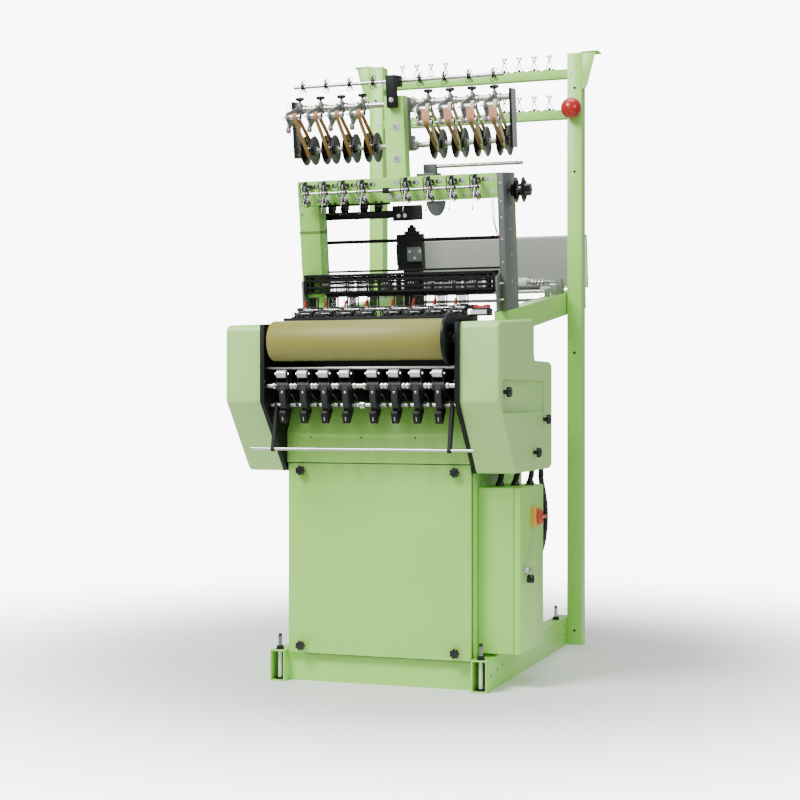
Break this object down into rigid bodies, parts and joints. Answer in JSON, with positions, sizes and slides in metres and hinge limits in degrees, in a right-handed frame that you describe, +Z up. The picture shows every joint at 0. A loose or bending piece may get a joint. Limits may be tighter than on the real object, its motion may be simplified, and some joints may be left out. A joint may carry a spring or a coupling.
{
  "type": "power loom",
  "caption": "Upright narrow-fabric power loom with take-up drum, press arms, elastic feeder, tension units, electric box and rear yarn rack.",
  "frame": {"origin": "on the floor under the middle of the bounding box", "axes": "+Z up, +X to the operator's right, -Y towards the operator"},
  "size_m": [0.9678, 1.6226, 2.1982],
  "materials": {
    "green_paint": "satin",
    "black_metal": "satin",
    "grey_metal": "satin",
    "steel": "brushed",
    "olive_rubber": "satin",
    "black_plastic": "matte",
    "red_plastic": "gloss",
    "cable_rubber": "matte",
    "belt_web": "matte",
    "white_roller": "satin",
    "cast_iron": "cast"
  },
  "bodies": {
    "frame": {"apron_plate": "green_paint", "base_frame": "green_paint", "bed_casting": "cast_iron", "breast_shafts": "steel", "cabinet_shell": "green_paint", "cables": "cable_rubber", "cover_left": "green_paint", "cover_right": "green_paint", "creel_brackets": "green_paint", "electric_box": "green_paint", "feeder_belts": "belt_web", "feeder_clamps": "grey_metal", "feeder_frame": "steel", "front_panel": "green_paint", "harness_drive": "black_metal", "harness_plates": "grey_metal", "head_rail": "black_metal", "levelling_feet": "steel", "machined_uprights": "grey_metal", "press_arms": "cast_iron", "rack_beams": "green_paint", "rear_plate": "grey_metal", "rear_posts": "green_paint", "roller_blocks": "steel", "side_frames": "black_metal", "signal_lamp": "red_plastic", "star_knobs": "black_plastic", "tension_units": "steel", "top_rod": "steel", "upper_frame": "green_paint", "yarn_guides": "steel"},
    "take_up": {"take_up_drum": "olive_rubber", "take_up_shaft": "black_metal"},
    "press_rollers": {"press_rollers": "steel"},
    "release_lever": {"release_lever": "steel"},
    "sley": {"sley": "steel"},
    "latch_levers": {"latch_levers": "red_plastic"},
    "switch_button": {"switch_button": "red_plastic"},
    "heald_front": {"heald_frame_front": "black_metal"},
    "heald_rear": {"heald_frame_rear": "black_metal"},
    "feeder_pulleys": {"feeder_pulleys": "black_plastic"},
    "idlers_high": {"idlers_high": "steel"},
    "idlers_low": {"idlers_low": "steel"},
    "tension_feelers": {"tension_feelers": "steel"},
    "spool": {"spool": "black_plastic"},
    "warp_roller": {"warp_roller": "white_roller"},
    "low_roller": {"low_roller": "black_metal"},
    "box_door": {"box_door": "green_paint"},
    "isolator_handle": {"isolator_handle": "red_plastic"},
    "padlock": {"padlock": "black_metal"},
    "weft_needle_1": {"weft_needle_1": "steel"},
    "weft_needle_2": {"weft_needle_2": "steel"},
    "weft_needle_3": {"weft_needle_3": "steel"},
    "weft_needle_4": {"weft_needle_4": "steel"},
    "weft_needle_5": {"weft_needle_5": "steel"},
    "weft_needle_6": {"weft_needle_6": "steel"},
    "weft_needle_7": {"weft_needle_7": "steel"},
    "weft_needle_8": {"weft_needle_8": "steel"}
  },
  "joints": [
    {"name": "take_up_spin", "type": "hinge", "parent": "frame", "child": "take_up", "pos_m": [0, -0.735, 1.089], "axis": [1, 0, 0], "continuous": true},
    {"name": "press_roller_spin", "type": "hinge", "parent": "frame", "child": "press_rollers", "pos_m": [0, -0.754, 0.986], "axis": [1, 0, 0], "continuous": true},
    {"name": "release_lever_swing", "type": "hinge", "parent": "frame", "child": "release_lever", "pos_m": [0, -0.715, 0.89], "axis": [1, 0, 0], "range_deg": [-20, 20]},
    {"name": "sley_swing", "type": "hinge", "parent": "frame", "child": "sley", "pos_m": [0, -0.5, 1.126], "axis": [1, 0, 0], "range_deg": [-5, 8]},
    {"name": "latch_lever_tilt", "type": "hinge", "parent": "frame", "child": "latch_levers", "pos_m": [0, -0.538, 1.196], "axis": [1, 0, 0], "range_deg": [-30, 30]},
    {"name": "switch_press", "type": "slide", "parent": "frame", "child": "switch_button", "axis": [0, 0, -1], "range_m": [0, 0.004], "stiffness_N_per_m": 400},
    {"name": "heald_front_lift", "type": "slide", "parent": "frame", "child": "heald_front", "axis": [0, -0.1305, 0.9914], "range_m": [-0.012, 0.012]},
    {"name": "heald_rear_lift", "type": "slide", "parent": "frame", "child": "heald_rear", "axis": [0, -0.1305, 0.9914], "range_m": [-0.012, 0.012]},
    {"name": "weft_needle_1_swing", "type": "hinge", "parent": "frame", "child": "weft_needle_1", "pos_m": [-0.279, -0.578, 1.168], "axis": [0, 0, 1], "range_deg": [-20, 20]},
    {"name": "weft_needle_2_swing", "type": "hinge", "parent": "frame", "child": "weft_needle_2", "pos_m": [-0.209, -0.578, 1.168], "axis": [0, 0, 1], "range_deg": [-20, 20]},
    {"name": "weft_needle_3_swing", "type": "hinge", "parent": "frame", "child": "weft_needle_3", "pos_m": [-0.139, -0.578, 1.168], "axis": [0, 0, 1], "range_deg": [-20, 20]},
    {"name": "weft_needle_4_swing", "type": "hinge", "parent": "frame", "child": "weft_needle_4", "pos_m": [-0.069, -0.578, 1.168], "axis": [0, 0, 1], "range_deg": [-20, 20]},
    {"name": "weft_needle_5_swing", "type": "hinge", "parent": "frame", "child": "weft_needle_5", "pos_m": [0.021, -0.578, 1.168], "axis": [0, 0, 1], "range_deg": [-20, 20]},
    {"name": "weft_needle_6_swing", "type": "hinge", "parent": "frame", "child": "weft_needle_6", "pos_m": [0.091, -0.578, 1.168], "axis": [0, 0, 1], "range_deg": [-20, 20]},
    {"name": "weft_needle_7_swing", "type": "hinge", "parent": "frame", "child": "weft_needle_7", "pos_m": [0.161, -0.578, 1.168], "axis": [0, 0, 1], "range_deg": [-20, 20]},
    {"name": "weft_needle_8_swing", "type": "hinge", "parent": "frame", "child": "weft_needle_8", "pos_m": [0.231, -0.578, 1.168], "axis": [0, 0, 1], "range_deg": [-20, 20]},
    {"name": "feeder_drive_spin", "type": "hinge", "parent": "frame", "child": "feeder_pulleys", "pos_m": [0, -0.32406, 1.7475], "axis": [1, 0, 0], "continuous": true},
    {"name": "idlers_high_spin", "type": "hinge", "parent": "frame", "child": "idlers_high", "pos_m": [0, -0.45528, 1.84017], "axis": [1, 0, 0], "continuous": true},
    {"name": "idlers_low_spin", "type": "hinge", "parent": "frame", "child": "idlers_low", "pos_m": [0, -0.44967, 1.79754], "axis": [1, 0, 0], "continuous": true},
    {"name": "feeler_swing", "type": "hinge", "parent": "frame", "child": "tension_feelers", "pos_m": [0, -0.43998, 1.58599], "axis": [1, 0, 0], "range_deg": [-15, 7]},
    {"name": "spool_spin", "type": "hinge", "parent": "frame", "child": "spool", "pos_m": [0.398, -0.33081, 1.58422], "axis": [1, 0, 0], "continuous": true},
    {"name": "warp_roller_spin", "type": "hinge", "parent": "frame", "child": "warp_roller", "pos_m": [0, 0.45767, 1.34106], "axis": [1, 0, 0], "continuous": true},
    {"name": "low_roller_spin", "type": "hinge", "parent": "frame", "child": "low_roller", "pos_m": [0, 0.39088, 1.3121], "axis": [1, 0, 0], "continuous": true},
    {"name": "box_door_swing", "type": "hinge", "parent": "frame", "child": "box_door", "pos_m": [0.439, -0.2255, 0.362], "axis": [0, 0, 1], "range_deg": [0, 95]},
    {"name": "isolator_turn", "type": "hinge", "parent": "box_door", "child": "isolator_handle", "pos_m": [0.4655, -0.3605, 0.532], "axis": [1, 0, 0], "range_deg": [0, 90]},
    {"name": "padlock_swing", "type": "hinge", "parent": "box_door", "child": "padlock", "pos_m": [0.4655, -0.454, 0.373], "axis": [0, 1, 0], "range_deg": [-30, 1]}
  ],
  "couplings": [
    {"joint": "press_roller_spin", "follows": "take_up_spin", "ratio": -5.04},
    {"joint": "heald_rear_lift", "follows": "heald_front_lift", "ratio": -1},
    {"joint": "idlers_high_spin", "follows": "feeder_drive_spin", "ratio": 2.1818},
    {"joint": "idlers_low_spin", "follows": "feeder_drive_spin", "ratio": 2.1818},
    {"joint": "weft_needle_2_swing", "follows": "weft_needle_1_swing", "ratio": 1},
    {"joint": "weft_needle_3_swing", "follows": "weft_needle_1_swing", "ratio": 1},
    {"joint": "weft_needle_4_swing", "follows": "weft_needle_1_swing", "ratio": 1},
    {"joint": "weft_needle_5_swing", "follows": "weft_needle_1_swing", "ratio": 1},
    {"joint": "weft_needle_6_swing", "follows": "weft_needle_1_swing", "ratio": 1},
    {"joint": "weft_needle_7_swing", "follows": "weft_needle_1_swing", "ratio": 1},
    {"joint": "weft_needle_8_swing", "follows": "weft_needle_1_swing", "ratio": 1}
  ]
}
